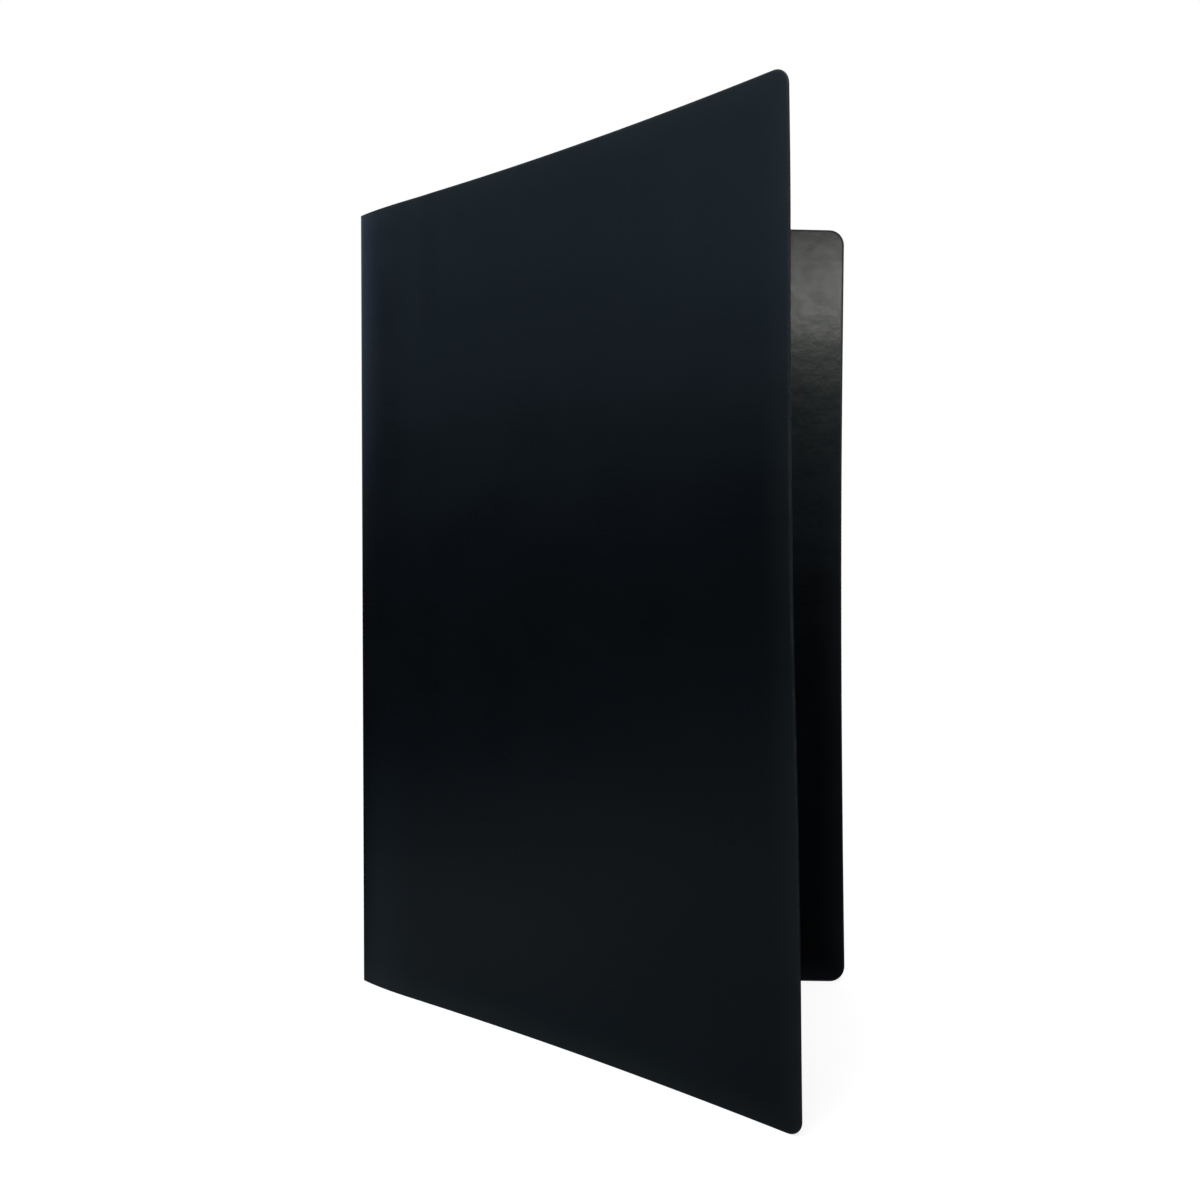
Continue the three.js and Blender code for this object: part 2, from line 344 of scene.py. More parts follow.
# Each finish's second colour is the lighter one for worn edges, the painted glare and the painted
# sheen.
OUTER_SHEET = sheet_material(
    "outer_sheet", colour=(0.0020, 0.0018, 0.0027, 1.0), worn_glare_and_sheen=(0.018, 0.019, 0.020, 1.0),
    roughness=0.28, grain=0.005 * MM, streaks=0.04, dimples=1.5, rub_and_sheen_share=0.0)
INNER_SHEET = sheet_material(
    "inner_sheet", colour=(0.0014, 0.0015, 0.0021, 1.0), worn_glare_and_sheen=(0.015, 0.016, 0.019, 1.0),
    roughness=0.18, grain=0.003 * MM, streaks=0.03, dimples=18.0, rub_and_sheen_share=0.6)
SHEET_EDGE = sheet_material(
    "sheet_edge", colour=(0.0034, 0.0038, 0.0044, 1.0), worn_glare_and_sheen=(0.016, 0.017, 0.018, 1.0),
    roughness=0.50, grain=0.020 * MM, streaks=0.05, dimples=0.0, rub_and_sheen_share=0.0, gloss=0.12)
BONDED_FILM = film_material()
STRIP_STEEL = steel_material("strip_steel", colour=(0.74, 0.74, 0.73, 1.0), roughness=0.38)
LOCK_STEEL = steel_material("lock_steel", colour=(0.68, 0.69, 0.69, 1.0), roughness=0.32)


# Shapes from Geometry Nodes

def shape_tree(name, inputs):
    """An empty Geometry Nodes tree with these inputs, and the node that gives them."""
    nodes = bpy.data.node_groups.new(name, "GeometryNodeTree")
    for label, kind in inputs.items():
        nodes.interface.new_socket(label, in_out="INPUT", socket_type="NodeSocket" + kind)
    nodes.interface.new_socket("Geometry", in_out="OUTPUT", socket_type="NodeSocketGeometry")
    tree = Tree(nodes)
    return tree, tree.add("NodeGroupInput")


def give_shape(tree, made, material):
    """Ends a tree with its geometry in this material, and returns its group of nodes."""
    made = tree.add("GeometryNodeRealizeInstances", None, {"Geometry": made})["Geometry"]
    inputs = {"Geometry": made, "Material": material}
    made = tree.add("GeometryNodeSetMaterial", None, inputs)["Geometry"]
    tree.add("NodeGroupOutput", None, {"Geometry": made})
    return tree.tree


# Sheets: a grid that gets round corners and bends, and that is then thickened

EDGE_STEPS = 10
ROUND_STEPS = 3
SHARP_ANGLE = math.radians(40.0)
LEAST_LENGTH = 1e-7


def edge_inset(step, rim, corner):
    """How far in from a free edge the grid line is that comes this many steps after it."""
    turn = step.least(ROUND_STEPS) * (math.pi / 2 / ROUND_STEPS)
    beyond = ((step - ROUND_STEPS) / (EDGE_STEPS - ROUND_STEPS)).clamped()
    return rim * (1.0 - turn.math("COSINE")) + (corner - rim) * beyond * beyond


def spaced(index, count, length, free, rim, corner, gather):
    """Where a grid line is between 0 and length, how far from a free edge, and on which side."""
    low, high = free
    inner = count - 1 - EDGE_STEPS * (low + high)
    share = ((index - EDGE_STEPS * low) / inner).clamped()
    place = share ** gather * (length - corner * (low + high))
    from_edge = corner
    if low:
        inset = edge_inset(index, rim, corner)
        place = place + inset
        from_edge = from_edge.least(inset)
    if high:
        inset = edge_inset((count - 1) - index, rim, corner)
        place = place + (corner - inset)
        from_edge = from_edge.least(inset)
    return place, from_edge, share.math("GREATER_THAN", 0.5) * 2.0 - 1.0


def corner_shift(from_side, from_end, corner):
    """How far a grid point moves along and up, so that square rings of points become round."""
    out_s = corner - from_side
    out_z = corner - from_end
    furthest = out_s.most(out_z).most(LEAST_LENGTH)
    wide = out_s.math("GREATER_THAN", out_z)
    eighth = math.pi / 4
    turn = wide * (out_z / furthest) * eighth + (1.0 - wide) * (2.0 - out_s / furthest) * eighth
    return furthest * turn.math("COSINE") - out_s, furthest * turn.math("SINE") - out_z


def thickness_share(edge, rim, half):
    """The share of its full thickness that a sheet has near a rounded edge."""
    short = (rim - edge).most(0.0)
    return (half - rim + (rim * rim - short * short).most(0.0).math("SQRT")) / half


def sheet_tree(name, counts, free, gather, place, material):
    """A tree for a sheet's middle surface, in which place(tree, s, z) says where a point goes."""
    labels = ("Start", "Width", "Height", "Corner", "Rim", "Thickness")
    tree, given = shape_tree(name, dict.fromkeys(labels, "Float"))
    start, width, height = given["Start"], given["Width"], given["Height"]
    corner, rim, half = given["Corner"], given["Rim"], given["Thickness"] * 0.5

    columns, rows = counts
    sizes = {"Size X": columns - 1.0, "Size Y": rows - 1.0, "Vertices X": columns, "Vertices Y": rows}
    made = tree.add("GeometryNodeMeshGrid", None, sizes)["Mesh"]
    across, up, _ = tree.parts(tree.add("GeometryNodeInputPosition")["Position"])
    column = (across + (columns - 1) / 2).math("ROUND")
    row = (up + (rows - 1) / 2).math("ROUND")
    s, from_side, side = spaced(column, columns, width - start, free, rim, corner, gather)
    z, from_end, end = spaced(row, rows, height, (True, True), rim, corner, 1.0)
    shift_s, shift_z = corner_shift(from_side, from_end, corner)
    s = start + s + side * shift_s
    z = z + end * shift_z

    edge = from_side.least(from_end)
    inside = z.least(height - z)
    for is_free, distance in zip(free, (s - start, width - s)):
        if is_free:
            inside = inside.least(distance)
    inside = edge + (inside - corner).most(0.0)
    kept = ((RIM_SHARE, thickness_share(edge, rim, half)), (EDGE_DISTANCE, inside))
    for label, value in kept:
        inputs = {"Geometry": made, "Name": label, "Value": value}
        made = tree.add("GeometryNodeStoreNamedAttribute", None, inputs)["Geometry"]
    inputs = {"Geometry": made, "Position": tree.joined(*place(tree, s, z))}
    made = tree.add("GeometryNodeSetPosition", None, inputs)["Geometry"]
    return give_shape(tree, made, material)


def new_piece(name, mesh):
    """An object for a mesh, in the scene, with its origin at the frame's."""
    made = bpy.data.objects.new(name, mesh)
    bpy.context.scene.collection.objects.link(made)
    return made


def from_shape(name, shape):
    """A piece from a shape that is built face by face."""
    mesh = bpy.data.meshes.new(name)
    shape.to_mesh(mesh)
    shape.free()
    return new_piece(name, mesh)


def settle(made):
    """Turns what a piece's modifiers give into its plain mesh."""
    depsgraph = bpy.context.evaluated_depsgraph_get()
    mesh = bpy.data.meshes.new_from_object(made.evaluated_get(depsgraph))
    made.modifiers.clear()
    made.data = mesh
    mesh.name = made.name


def from_tree(name, nodes, values):
    """The plain mesh that a Geometry Nodes tree gives with these input values."""
    made = new_piece(name, bpy.data.meshes.new(name))
    modifier = made.modifiers.new("make", "NODES")
    modifier.node_group = nodes
    for item in nodes.interface.items_tree:
        if item.item_type == "SOCKET" and item.in_out == "INPUT":
            modifier[item.identifier] = values[item.name]
    settle(made)
    return made


def smooth(made):
    """Shades a piece smoothly, apart from its sharp edges."""
    for polygon in made.data.polygons:
        polygon.use_smooth = True
    made.data.set_sharp_from_angle(angle=SHARP_ANGLE)


def outwards(made, facing):
    """Turns a surface so that its faces look along facing."""
    total = Vector()
    for polygon in made.data.polygons:
        total += polygon.normal * polygon.area
    if total.dot(Vector(facing)) < 0.0:
        made.data.flip_normals()


def thicken(made, thickness, materials):
    """Gives a surface its thickness, thinner towards its rim, and its faces' finishes."""
    made.data.materials.clear()
    for material in materials:
        made.data.materials.append(material)
    solid = made.modifiers.new("thickness", "SOLIDIFY")
    solid.thickness = thickness
    solid.offset = 0.0
    solid.use_even_offset = True
    solid.material_offset = min(1, len(materials) - 1)
    solid.material_offset_rim = len(materials) - 1
    shares = made.data.attributes.get(RIM_SHARE)
    if shares:
        weights = [item.value for item in shares.data]
        group = made.vertex_groups.new(name="rim")
        group.add(range(len(weights)), 1.0, "REPLACE")
        for index, weight in enumerate(weights):
            if weight < 1.0:
                group.add([index], weight, "REPLACE")
        solid.vertex_group = group.name
    settle(made)
    made.vertex_groups.clear()
    smooth(made)


def make_sheet(name, tree, values, facing, materials):
    """A sheet with its thickness, from its tree, and with its outer face looking along facing."""
    made = from_tree(name, tree, values)
    outwards(made, facing)
    thicken(made, values["Thickness"], materials)
    return made


# The cover: two leaves and a spine panel, joined by a fold on each side of the spine

BACK_LOW, BACK_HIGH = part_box("back_cover")
LEAF_HEIGHT = BACK_HIGH.z - BACK_LOW.z
LEAF_WIDTH = 229.0 * MM
SHEET = 0.8 * MM
FRONT_CORNER, BACK_CORNER = 5.8 * MM, 7.2 * MM
RIM = 0.2 * MM
TOP_OPEN, BOTTOM_OPEN = math.radians(39.2), math.radians(36.4)
TOP_BOW, BOTTOM_BOW = math.radians(10.0), math.radians(7.1)
MIDDLE_BOW = math.radians(1.0)
MIDDLE_RISE, MIDDLE_FALL = (0.2, 0.55), (0.62, 0.95)
BACK_FLAT_ABOVE = 300.0 * MM
BACK_WARP = math.radians(4.5)

FOLD_REACH = 2.0 * MM
FOLD_HELD = 0.3 * MM
SPINE_HANDLE, LEAF_HANDLE = 0.3 * MM, 1.5 * MM
FRONT_EASE = {"length": 40.0 * MM, "turn": math.radians(11.0), "outward": 1.05 * MM}
BACK_EASE = {"length": 20.0 * MM, "turn": math.radians(13.0), "outward": 0.0}

FRONT_RIPPLE, BACK_RIPPLE = 0.9 * MM, 0.35 * MM
FRONT_SEED, BACK_SEED = 3.0, 41.0
RIPPLES_ACROSS, RIPPLES_UP = 5.0, 13.0
RIPPLE_START = 15.0 * MM
CALM_HALF_WIDTH = (62.0 * MM, 75.0 * MM)
CALM_ABOVE = 0.82
CALM_FADE = 20.0 * MM

LEAF_COLUMNS, SPINE_COLUMNS, FOLD_COLUMNS = 92, 9, 13
LEAF_ROWS = 150
LEAF_GATHER = 1.6
SPINE = FRONT_CREASE - BACK_CREASE


def eased(line, s, ease):
    """A leaf's line with its soft curve next to the fold: place, inward normal and direction."""
    place, inward, along = line
    left = (1.0 - s / ease["length"]).clamped()
    turn = left * left * ease["turn"]
    aside = left * left * left * (ease["turn"] * ease["length"] / 3)
    aside = aside - (1.0 - s / LEAF_WIDTH) * ease["outward"]
    cosine, sine = turn.math("COSINE"), turn.math("SINE")
    place = [place[i] + inward[i] * aside for i in range(2)]
    direction = [along[i] * cosine - inward[i] * sine for i in range(2)]
    return place, inward, direction


def front_line(s, z):
    """The front leaf: an arc whose opening and bow change from bottom to top."""
    height = z / LEAF_HEIGHT
    opening = BOTTOM_OPEN + height * (TOP_OPEN - BOTTOM_OPEN)
    middle = height.ramp(*MIDDLE_RISE) * (1.0 - height.ramp(*MIDDLE_FALL))
    bow = (BOTTOM_BOW + height * (TOP_BOW - BOTTOM_BOW) + middle * MIDDLE_BOW) / LEAF_WIDTH
    end = opening + bow * s
    cosine, sine = end.math("COSINE"), end.math("SINE")
    place = (
        FRONT_CREASE.x + (sine - opening.math("SINE")) / bow,
        FRONT_CREASE.y + (cosine - opening.math("COSINE")) / bow,
    )
    return eased((place, (sine, cosine), (cosine, -sine)), s, FRONT_EASE)


def back_line(s, z):
    """The back leaf: flat at the top, and turned a little towards the front leaf below."""
    below = ((BACK_FLAT_ABOVE - z) / BACK_FLAT_ABOVE).most(0.0)
    heading = below * below * -BACK_WARP
    cosine, sine = heading.math("COSINE"), heading.math("SINE")
    place = (BACK_CREASE.x + s * cosine, BACK_CREASE.y + s * sine)
    return eased((place, (sine, -cosine), (cosine, sine)), s, BACK_EASE)


def leaf_place(line, seed, ripple):
    """A leaf with the faint waves of a thin sheet, calm at the fold and behind the fastener."""
    def place(tree, s, z):
        point, inward, _ = line(s, z)
        waves = tree.joined(s * RIPPLES_ACROSS + seed, z * RIPPLES_UP, 0.0)
        wave = tree.noise(waves, 1.0, 1.0, 0.4) - 0.5
        beside = (s - LEAF_WIDTH / 2).math("ABSOLUTE").ramp(*CALM_HALF_WIDTH)
        below = 1.0 - (z - LEAF_HEIGHT * CALM_ABOVE).ramp(0.0, CALM_FADE)
        past_fold = ((s - FOLD_REACH) / RIPPLE_START).clamped()
        lift = wave * ripple * beside.most(below) * past_fold
        return point[0] + inward[0] * lift, point[1] + inward[1] * lift, z
    return place


def fold_place(line, crease, spine_way):
    """A fold: a tight curve from the spine panel's edge to the leaf's."""
    def place(tree, share, z):
        reach = z * 0.0 + FOLD_REACH
        end, _, direction = line(reach, z)
        start = crease + spine_way * FOLD_REACH
        left = 1.0 - share
        point = []
        for i in range(2):
            leave = start[i] - spine_way[i] * SPINE_HANDLE
            arrive = end[i] - direction[i] * LEAF_HANDLE
            point.append(left * left * left * start[i] + share * left * left * (3.0 * leave)
                         + share * share * left * 3.0 * arrive + share * share * share * end[i])
        return point[0], point[1], z
    return place


def spine_place(tree, s, z):
    """The spine panel runs straight from one fold to the other."""
    way = SPINE.normalized()
    return BACK_CREASE.x + s * way.x, BACK_CREASE.y + s * way.y, z


def make_cover_part(name, place, columns, span, facing, free=(False, False), gather=1.0,
                    corner=FRONT_CORNER):
    """One part of the creased sheet; span says where along its line it starts and ends."""
    counts = (columns, LEAF_ROWS)
    tree = sheet_tree(name + "_shape", counts, free, gather, place, OUTER_SHEET)
    start, width = span
    values = {
        "Start": start,
        "Width": width,
        "Height": LEAF_HEIGHT,
        "Corner": corner,
        "Rim": RIM,
        "Thickness": SHEET,
    }
    made = make_sheet(name, tree, values, facing, (OUTER_SHEET, INNER_SHEET, SHEET_EDGE))
    return made


def make_cover():
    """The whole creased sheet."""
    away_from_back = SPINE.normalized()
    outside = (away_from_back.y, -away_from_back.x, 0.0)
    leaf = {"free": (False, True), "gather": LEAF_GATHER}
    leaf_span = (FOLD_REACH, LEAF_WIDTH)
    place = leaf_place(front_line, FRONT_SEED, FRONT_RIPPLE)
    front = make_cover_part("front_leaf", place, LEAF_COLUMNS, leaf_span, TO_FRONT, **leaf)
    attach(front, "front")
    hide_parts("front_cover")
    place = leaf_place(back_line, BACK_SEED, BACK_RIPPLE)
    back = make_cover_part("back_leaf", place, LEAF_COLUMNS, leaf_span, TO_BACK,
                           corner=BACK_CORNER, **leaf)
    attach(back, "back")
    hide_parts("back_cover")
    spine_span = (FOLD_REACH, SPINE.length - FOLD_REACH)
    spine = make_cover_part("spine_strip", spine_place, SPINE_COLUMNS, spine_span, outside)
    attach(spine, "spine")
    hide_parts("spine_panel")
    folds = (
        ("front_fold", front_line, FRONT_CREASE, -away_from_back, ("spine", "front")),
        ("back_fold", back_line, BACK_CREASE, away_from_back, ("spine", "back")),
    )
    for name, line, crease, way, bodies in folds:
        place = fold_place(line, crease, way)
        fold = make_cover_part(name, place, FOLD_COLUMNS, (0.0, 1.0), outside)
        blend_fold(fold, crease, way)


def blend_fold(fold, crease, spine_way):
    """Works out where a fold's two ends would be held whole, and bakes the fold's place into its mesh;
    it does not bend the fold.
    """
    start = crease + spine_way * FOLD_REACH
    places = [vertex.co.to_2d() for vertex in fold.data.vertices]
    far = max(places, key=lambda point: (point - start).length)
    way = (far - start).normalized()
    low = start + way * FOLD_HELD
    high = far - way * FOLD_HELD
    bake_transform(fold)


make_cover()


# The fastener, laid on the back leaf's inner face

BASE_LOW, BASE_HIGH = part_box("fastener_base")
_, PATCH_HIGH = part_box("bonded_patch")
FASTENER_PLACE = Matrix.Translation((
    (BASE_LOW.x + BASE_HIGH.x) / 2,
    PATCH_HIGH.y,
    (BASE_LOW.z + BASE_HIGH.z) / 2,
)) @ Matrix.Rotation(math.pi / 2, 4, "X")

PRONG_X = 35.0 * MM
PRONG_LENGTH = 25.0 * MM
PRONG_WIDTH = 5.0 * MM
PRONG_THICKNESS = 0.4 * MM
PRONG_HEIGHT = 2.5 * MM
PRONG_RIM = 0.1 * MM
PRONG_CROWN, CROWN_RUN = 0.06 * MM, 4.0 * MM
PRONG_COUNTS = (44, 34)
TIP_CORNER = PRONG_WIDTH / 2 - 0.05 * MM
ROOT_FROM = 0.3 * MM
ROOT_STEPS = 8
BASE_HALF_LENGTH = 46.0 * MM
BASE_HALF_WIDTH = 4.5 * MM
FILM_LENGTH, FILM_WIDTH, FILM_CORNER = 118.0 * MM, 24.0 * MM, 4.0 * MM
FILM_THICKNESS = 0.4 * MM
FILM_RIM = 0.12 * MM
FILM_RISE = 0.8 * MM
FILM_SLOPE = (0.4 * MM, 1.5 * MM)
FILM_COUNTS = (190, 64)
CHANNEL_LENGTH, CHANNEL_WIDTH = 104.0 * MM, 13.0 * MM
CHANNEL_THICKNESS = 0.5 * MM
CHANNEL_FLOOR, CHANNEL_LIP = 1.75 * MM, 4.65 * MM
CHANNEL_STEP = 4.0 * MM
LIP_WIDTH = 1.9 * MM
BEND_RADIUS, BEND_STEPS = 0.6 * MM, 5
SLOT_HALF_LENGTH, SLOT_HALF_WIDTH = 0.6 * MM, 2.9 * MM
LOCK_LENGTH, LOCK_STEP = 9.0 * MM, 1.5 * MM
LOCK_CENTRE = 46.0 * MM
LOCK_HALF_WIDTH = 5.7 * MM
LOCK_FOOT, LOCK_PLATE = 2.3 * MM, 3.85 * MM
RIB_COUNT = 3
RIB_PITCH = 4.0 * MM
RIB_THICKNESS = 1.0 * MM
RIB_HALF_WIDTH = 4.3 * MM
RIB_FOOT, RIB_TOP = 3.7 * MM, 5.8 * MM
METAL_EDGE, RIB_EDGE = 0.1 * MM, 0.3 * MM
SOFTENED_ANGLE = math.radians(50.0)


def in_fastener(x, y, height):
    """A point of the fastener's own axes, in the frame's."""
    origin = FASTENER_PLACE.translation
    return x + origin.x, -height + origin.y, y + origin.z


def film_place(tree, s, z):
    """The film lies on the leaf and is pressed up over the strip."""
    x, y = s - FILM_LENGTH / 2, z - FILM_WIDTH / 2
    past_end = (x.math("ABSOLUTE") - (BASE_HALF_LENGTH - BASE_HALF_WIDTH)).most(0.0)
    away = (past_end * past_end + y * y).math("SQRT")
    near, far = FILM_SLOPE
    rise = 1.0 - away.ramp(BASE_HALF_WIDTH + near, BASE_HALF_WIDTH + far)
    return in_fastener(x, y, rise * FILM_RISE + FILM_THICKNESS / 2)


def make_film():
    """The patch of film that bonds the strip to the leaf."""
    tree = sheet_tree("film_shape", FILM_COUNTS, (True, True), 1.0, film_place, BONDED_FILM)
    values = {
        "Start": 0.0,
        "Width": FILM_LENGTH,
        "Height": FILM_WIDTH,
        "Corner": FILM_CORNER,
        "Rim": FILM_RIM,
        "Thickness": FILM_THICKNESS,
    }
    film = make_sheet("bonding_film", tree, values, TO_FRONT, (BONDED_FILM,))
    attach(film, "back")
    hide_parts("bonded_patch")


def prong_place(side):
    """A tongue that lies flat from its foot towards the middle, a little crowned."""
    def place(tree, s, z):
        y = z - PRONG_WIDTH / 2
        across = y / (PRONG_WIDTH / 2)
        crown = (1.0 - across * across) * (s / CROWN_RUN).clamped() * PRONG_CROWN
        return in_fastener((PRONG_X - s) * side, y, crown + PRONG_HEIGHT)
    return place


def rounded_path(corners, radius, steps):
    """A line through corners, with each bend an arc of this radius."""
    path = [Vector(corners[0])]
    for before, corner, after in zip(corners, corners[1:], corners[2:]):
        corner = Vector(corner)
        back = (Vector(before) - corner).normalized()
        ahead = (Vector(after) - corner).normalized()
        half = back.angle(ahead) / 2
        centre = corner + (back + ahead).normalized() * (radius / math.sin(half))
        first = corner + back * (radius / math.tan(half)) - centre
        turn = (math.pi - 2 * half) / steps
        if back.x * ahead.y - back.y * ahead.x > 0:
            turn = -turn
        for step in range(steps + 1):
            arm = first.copy()
            arm.rotate(Matrix.Rotation(turn * step, 2))
            path.append(centre + arm)
    path.append(Vector(corners[-1]))
    return path


def placed(name, shape):
    """A piece from a shape in the fastener's own axes."""
    shape.transform(FASTENER_PLACE)
    return from_shape(name, shape)


def swept(name, path, stations, hole=None):
    """A strip whose section is a path of (across, height), run along the fastener's length."""
    shape = bmesh.new()
    rows = []
    for x in stations:
        rows.append([shape.verts.new((x, point.x, point.y)) for point in path])
    for row, following in zip(rows, rows[1:]):
        for i in range(len(path) - 1):
            quad = (row[i], row[i + 1], following[i + 1], following[i])
            middle = sum((vertex.co for vertex in quad), Vector()) / 4
            if hole is None or not hole(middle):
                shape.faces.new(quad)
    return placed(name, shape)


def soften(made, width, segments=2):
    """Rounds a piece's sharp edges a little, as stamped and tumbled metal has them."""
    rounding = made.modifiers.new("edges", "BEVEL")
    rounding.width = width
    rounding.segments = segments
    rounding.limit_method = "ANGLE"
    rounding.angle_limit = SOFTENED_ANGLE
    settle(made)
    smooth(made)


def make_strip(name, path, stations, material, hole=None):
    """A bent strip of metal, with its thickness and softened edges."""
    strip = swept(name, path, stations, hole)
    outwards(strip, TO_FRONT)
    thicken(strip, CHANNEL_THICKNESS, (material,))
    soften(strip, METAL_EDGE)
    return strip


def between(low, high, step):
    """Evenly spaced numbers from low to high, at most a step apart."""
    count = max(1, math.ceil((high - low) / step))
    return [low + (high - low) * i / count for i in range(count + 1)]


def in_slot(middle):
    """Whether a face of the channel lies in a slot for a prong's foot."""
    along = abs(abs(middle.x) - PRONG_X) < SLOT_HALF_LENGTH
    return along and abs(middle.y) < SLOT_HALF_WIDTH and middle.z < CHANNEL_LIP / 2


def make_channel():
    """The compressor: a rolled channel with lips turned in over the slide locks."""
    side = (CHANNEL_WIDTH - CHANNEL_THICKNESS) / 2
    lip = CHANNEL_WIDTH / 2 - LIP_WIDTH
    left = rounded_path(((-lip, CHANNEL_LIP), (-side, CHANNEL_LIP), (-side, CHANNEL_FLOOR),
                         (-SLOT_HALF_WIDTH, CHANNEL_FLOOR)), BEND_RADIUS, BEND_STEPS)
    right = [Vector((-point.x, point.y)) for point in reversed(left)]
    end = CHANNEL_LENGTH / 2
    near, far = PRONG_X - SLOT_HALF_LENGTH, PRONG_X + SLOT_HALF_LENGTH
    stations = [-end]
    for low, high in ((-end, -far), (-far, -near), (-near, near), (near, far), (far, end)):
        stations += between(low, high, CHANNEL_STEP)[1:]
    channel = make_strip("compressor_channel", left + right, stations, STRIP_STEEL, in_slot)
    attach(channel, "back")
    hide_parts("compressor_bar")


def make_root(name, side):
    """The upright foot of a prong, with a round top about the axis that the prong bends on."""
    half = PRONG_THICKNESS / 2
    outline = [Vector((-half, ROOT_FROM)), Vector((half, ROOT_FROM))]
    for step in range(ROOT_STEPS + 1):
        turn = math.pi * step / ROOT_STEPS
        outline.append(Vector((half * math.cos(turn), PRONG_HEIGHT + half * math.sin(turn))))
    shape = bmesh.new()
    ends = []
    for y in (-PRONG_WIDTH / 2, PRONG_WIDTH / 2):
        ends.append([shape.verts.new((side * PRONG_X + point.x, y, point.y)) for point in outline])
    shape.faces.new(ends[0])
    shape.faces.new(reversed(ends[1]))
    for i in range(len(outline)):
        following = (i + 1) % len(outline)
        shape.faces.new((ends[0][following], ends[0][i], ends[1][i], ends[1][following]))
    bmesh.ops.recalc_face_normals(shape, faces=shape.faces)
    root = placed(name, shape)
    root.data.materials.append(STRIP_STEEL)
    smooth(root)
    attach(root, "back")


def make_prong(name, side):
    """A bendable tongue with a round tip."""
    tree = sheet_tree(name + "_shape", PRONG_COUNTS, (False, True), 1.0, prong_place(side), STRIP_STEEL)
    values = {
        "Start": 0.0,
        "Width": PRONG_LENGTH,
        "Height": PRONG_WIDTH,
        "Corner": TIP_CORNER,
        "Rim": PRONG_RIM,
        "Thickness": PRONG_THICKNESS,
    }
    prong = make_sheet(name + "_tongue", tree, values, TO_FRONT, (STRIP_STEEL,))
    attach(prong, name)
    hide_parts(name)


def rib_tree():
    """Thumb ribs: bars of one size, side by side at a pitch."""
    kinds = {"Count": "Int", "Pitch": "Float", "Middle": "Float", "Size": "Vector", "Foot": "Float"}
    tree, given = shape_tree("thumb_ribs", kinds)
    count, pitch = given["Count"], given["Pitch"]
    _, _, height = tree.parts(given["Size"])
    first = given["Middle"] - (count - 1.0) * pitch * 0.5
    low = tree.joined(*in_fastener(first, 0.0, given["Foot"] + height * 0.5))
    inputs = {"Count": count, "Start Location": low, "Offset": tree.joined(pitch, 0.0, 0.0)}
    line = tree.add("GeometryNodeMeshLine", None, inputs)["Mesh"]
    bar = tree.add("GeometryNodeMeshCube", None, {"Size": given["Size"]})["Mesh"]
    inputs = {"Points": line, "Instance": bar, "Rotation": (math.pi / 2, 0.0, 0.0)}
    bars = tree.add("GeometryNodeInstanceOnPoints", None, inputs)["Instances"]
    return give_shape(tree, bars, LOCK_STEEL)


def make_lock(name, side, ribs_tree):
    """A slide lock: an arch that runs under the channel's lips, with thumb ribs on top."""
    half = LOCK_HALF_WIDTH - CHANNEL_THICKNESS / 2
    path = rounded_path(((-half, LOCK_FOOT), (-half, LOCK_PLATE), (half, LOCK_PLATE),
                         (half, LOCK_FOOT)), BEND_RADIUS, BEND_STEPS)
    middle = side * LOCK_CENTRE
    stations = between(middle - LOCK_LENGTH / 2, middle + LOCK_LENGTH / 2, LOCK_STEP)
    arch = make_strip(name + "_arch", path, stations, LOCK_STEEL)
    values = {
        "Count": RIB_COUNT,
        "Pitch": RIB_PITCH,
        "Middle": middle,
        "Size": (RIB_THICKNESS, 2 * RIB_HALF_WIDTH, RIB_TOP - RIB_FOOT),
        "Foot": RIB_FOOT,
    }
    ribs = from_tree(name + "_ribs", ribs_tree, values)
    soften(ribs, RIB_EDGE, segments=3)
    for made in (arch, ribs):
        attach(made, name)
    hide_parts(name)


def make_fastener():
    """Every piece of the fastener."""
    strip = frame["nodes"]["fastener_base"]
    for material_slot in strip.material_slots:
        material_slot.material = STRIP_STEEL
    make_film()
    make_channel()
    ribs_tree = rib_tree()
    for name, side in (("spine_side", -1), ("edge_side", 1)):
        make_root(name + "_root", side)
        make_prong(name + "_prong", side)
        make_lock(name + "_lock", side, ribs_tree)


make_fastener()


# Studio: the surroundings change with x, y and z of the direction that a ray goes in

FLOOR_CENTRE = Vector((-0.06, 0.03))
FLOOR_RADIUS = 1.2
FLOOR_FADE = (0.14, 0.50)
FLOOR_COLOUR = grey(0.30)
FLOOR_GLOW = grey(0.72)
FLOOR_HIDDEN = 0.8
SIDE_LIGHT = 0.8
ABOVE_LIGHT, BELOW_LIGHT = 0.36, 0.20
FRONT_LIGHT = 0.16
DARK_ROOM = 0.005
LOW_SKY, HIGH_SKY = (0.47, 0.80, 1.0, 1.0), (0.42, 0.67, 1.0, 1.0)
WHITE = grey(1.0)
BLACK = grey(0.0)


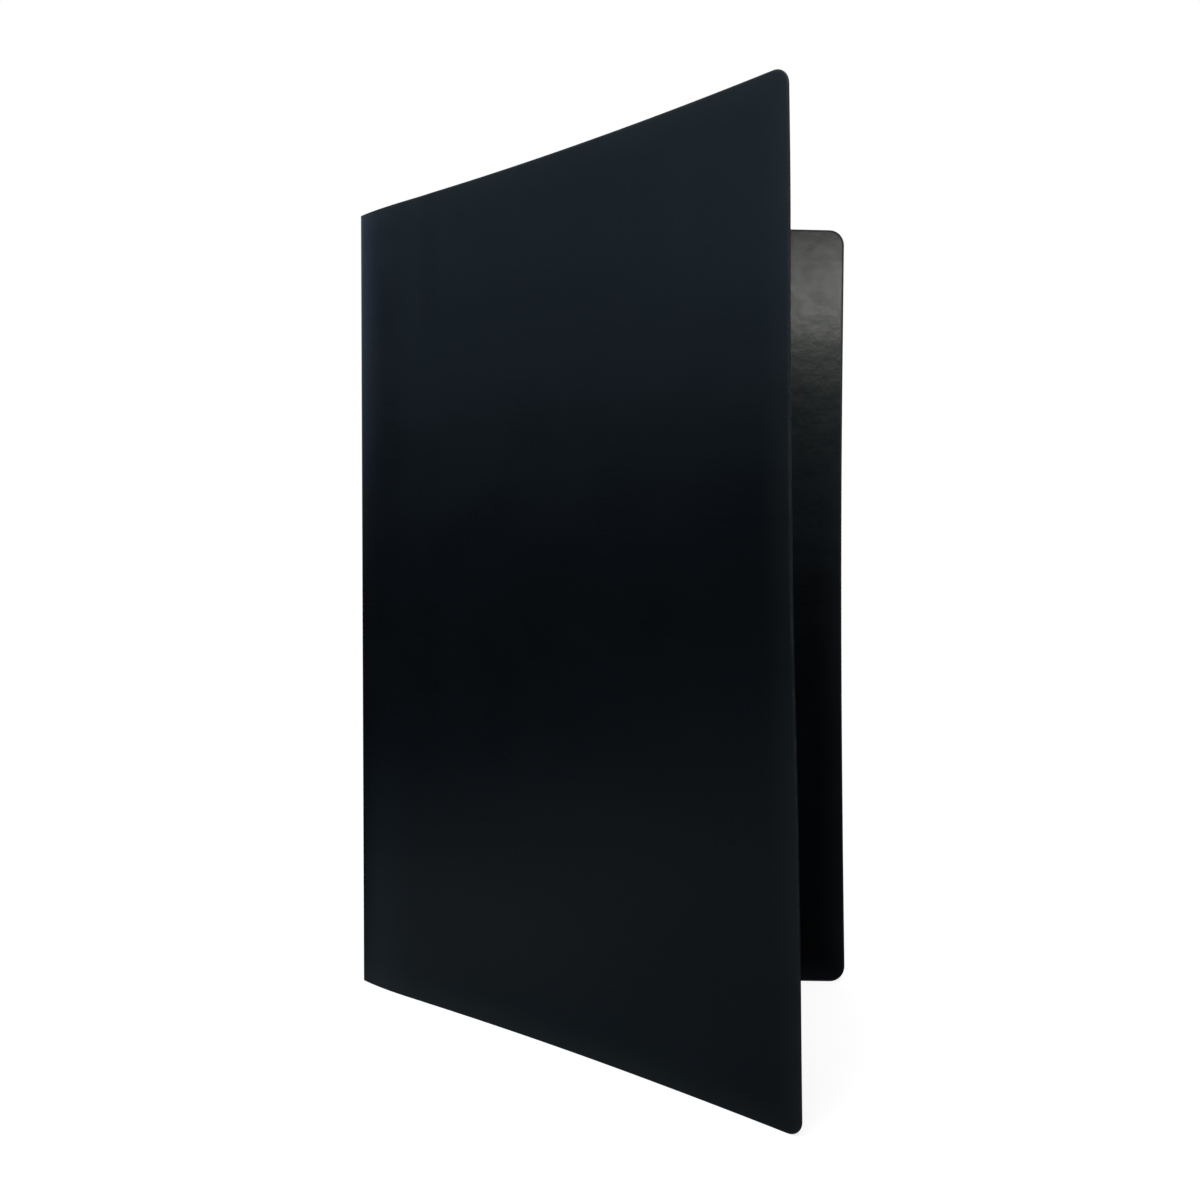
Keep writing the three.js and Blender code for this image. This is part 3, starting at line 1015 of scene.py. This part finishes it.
def make_floor():
    """A pale floor that takes the folder's shadow and fades out into the white surroundings.

    The glossy sheet hardly sees it, and behind the folder or to its right not at all.
    """
    shape = bmesh.new()
    bmesh.ops.create_circle(shape, cap_ends=True, segments=96, radius=FLOOR_RADIUS)
    floor = from_shape("floor", shape)
    material, tree, shader = new_material("floor")
    x, y, _ = tree.parts(tree.add("ShaderNodeTexCoord")["Object"])
    x, y = x - FLOOR_CENTRE.x, y - FLOOR_CENTRE.y
    reach = (x * x + y * y).math("SQRT")
    unseen = ((x + 0.09) / 0.24).clamped().most(y.ramp(0.0, 0.08))
    hidden = FLOOR_HIDDEN + unseen * (1.0 - FLOOR_HIDDEN)
    rays = tree.add("ShaderNodeLightPath")
    seen, glossy = rays["Is Camera Ray"], rays["Is Glossy Ray"]
    shader.inputs["Base Color"].default_value = FLOOR_COLOUR
    tree.feed(shader.inputs["Emission Color"], tree.mixed(seen, BLACK, FLOOR_GLOW))
    shader.inputs["Emission Strength"].default_value = 1.0
    tree.feed(shader.inputs["Alpha"], (1.0 - reach.ramp(*FLOOR_FADE)) * (1.0 - glossy * hidden))
    shader.inputs["Roughness"].default_value = 0.9
    shader.inputs["Specular IOR Level"].default_value = 0.0
    floor.data.materials.append(material)


def white_studio(x, y, z):
    """How white a direction is: wholly so behind the folder and overhead, less at the right."""
    backdrop = y.ramp(0.4, 0.85) * z.ramp(-0.12, 0.15)
    side = x.ramp(0.35, 0.8) * z.ramp(-0.1, 0.5) * SIDE_LIGHT
    return backdrop.most(side).most(z.ramp(0.5, 0.95))


def window(x, y, z):
    """Daylight at the left, from above and below eye level, that changes from front to back."""
    above, below = z.ramp(0.0, 0.27) * ABOVE_LIGHT, (-z).ramp(0.12, 0.36) * BELOW_LIGHT
    lean = ((0.22 - y * 9.5).most(0.05) + (y - 0.05).most(0.0) * 7.0).least(3.0)
    fall = ((y + 0.27) * 6.5).most(0.15).least(1.5) * (1.0 - y.ramp(0.05, 0.30) * 0.8)
    return (above * lean + below * fall) * (-x).ramp(0.2, 0.8)


def far_front(y, z):
    """A faint band of light behind the camera, a little above eye level."""
    return (-y).ramp(0.6, 0.95) * z.ramp(0.05, 0.14) * (1.0 - z.ramp(0.18, 0.28)) * FRONT_LIGHT


def make_world():
    """White all round for the camera, and for other rays a studio with a window at the left."""
    world = bpy.data.worlds.new("studio")
    world.use_nodes = True
    bpy.context.scene.world = world
    world.node_tree.nodes.clear()
    tree = Tree(world.node_tree)
    x, y, z = tree.parts(tree.add("ShaderNodeTexCoord")["Generated"])
    rays = tree.add("ShaderNodeLightPath")
    shown = rays["Is Camera Ray"].most(rays["Is Transmission Ray"])
    white = white_studio(x, y, z)
    room = white.most(window(x, y, z)).most(far_front(y, z)) + DARK_ROOM
    sky = tree.mixed(y.ramp(-0.05, 0.12) * z.ramp(0.0, 0.10), LOW_SKY, HIGH_SKY)
    colour = tree.mixed((white * 3.0).clamped().most(shown), sky, WHITE)
    inputs = {"Color": colour, "Strength": shown.most(room)}
    background = tree.add("ShaderNodeBackground", None, inputs)["Background"]
    tree.add("ShaderNodeOutputWorld", None, {"Surface": background})


def make_lamp(name, place, target, size, power, colour=(1.0, 1.0, 1.0)):
    """A soft lamp that looks at a point, and that the camera doesn't see."""
    data = bpy.data.lights.new(name, "AREA")
    data.shape = "RECTANGLE"
    data.size, data.size_y = size
    data.energy = power
    data.color = colour
    lamp = bpy.data.objects.new(name, data)
    bpy.context.scene.collection.objects.link(lamp)
    aim = (Vector(target) - Vector(place)).to_track_quat("-Z", "Y")
    lamp.matrix_world = Matrix.Translation(place) @ aim.to_matrix().to_4x4()
    lamp.visible_camera = False


make_floor()
make_world()
make_lamp("overhead", place=(-0.2, -0.5, 1.5), target=(0.0, 0.0, 0.1), size=(1.2, 1.2), power=22.0)
make_lamp("strip_panel", place=(0.57, -1.45, 0.748), target=(0.11, 0.08, 0.33), size=(0.30, 0.045),
          power=0.93, colour=(0.98, 1.0, 0.92))

bpy.context.scene.view_settings.view_transform = "Standard"
